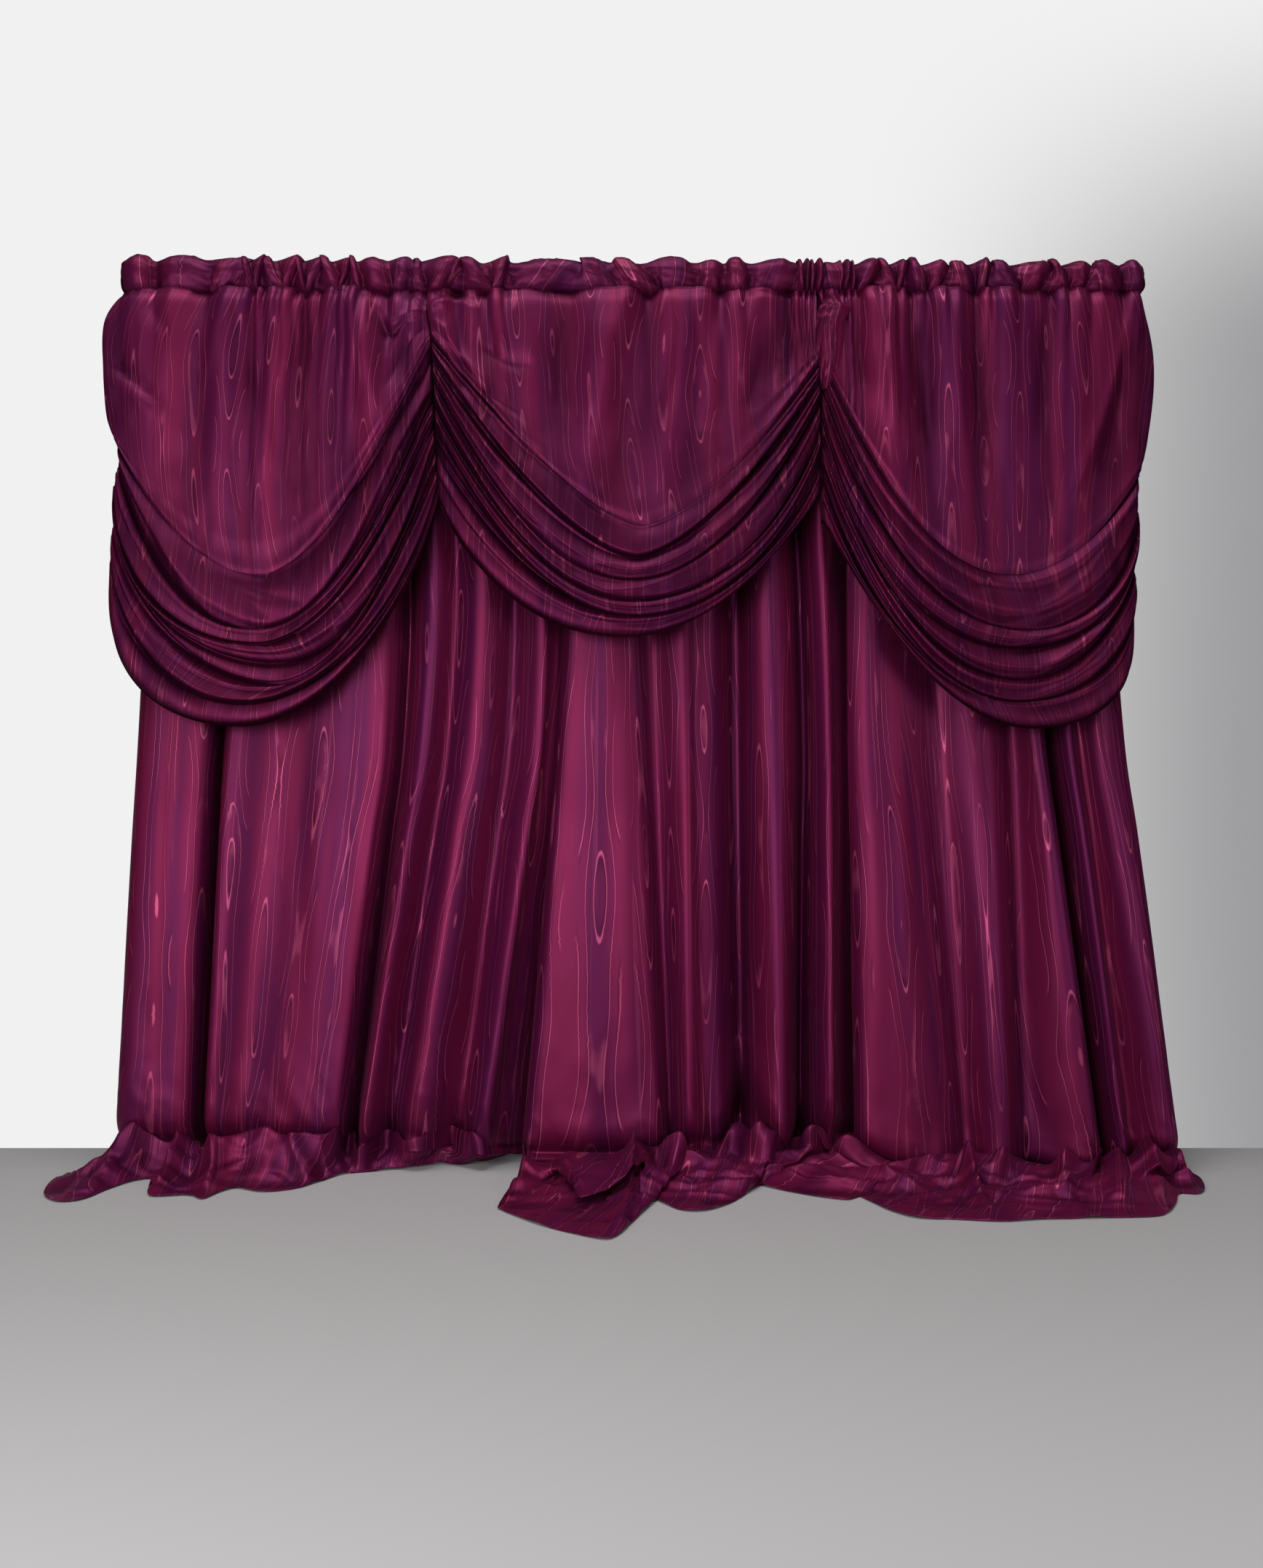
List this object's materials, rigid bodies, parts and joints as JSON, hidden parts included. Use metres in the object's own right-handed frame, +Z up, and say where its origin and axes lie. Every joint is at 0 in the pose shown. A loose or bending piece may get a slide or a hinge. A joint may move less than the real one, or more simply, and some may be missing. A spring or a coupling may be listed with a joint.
{
  "type": "fabric drape",
  "caption": "Gathered drape with draped swags over full-length panels that puddle on the floor, hung from a rod pocket.",
  "frame": {"origin": "middle of the drape's top edge, on the line of the rod pocket's channel, 2.60 m over the floor that the drape touches", "axes": "+X across the drape to the viewer's right, +Y back towards the wall behind it, +Z up; the drape faces -Y"},
  "size_m": [3.1161, 0.8371, 2.6101],
  "materials": {
    "moire_cloth": "wine red moire taffeta with a soft silky sheen and wood-grain lines"
  },
  "bodies": {
    "root": {"heading": "moire_cloth", "swag_left": "moire_cloth", "swag_middle": "moire_cloth", "swag_right": "moire_cloth", "gather_strap": "moire_cloth", "panel_left": "moire_cloth", "panel_middle": "moire_cloth", "panel_right": "moire_cloth"}
  },
  "joints": []
}
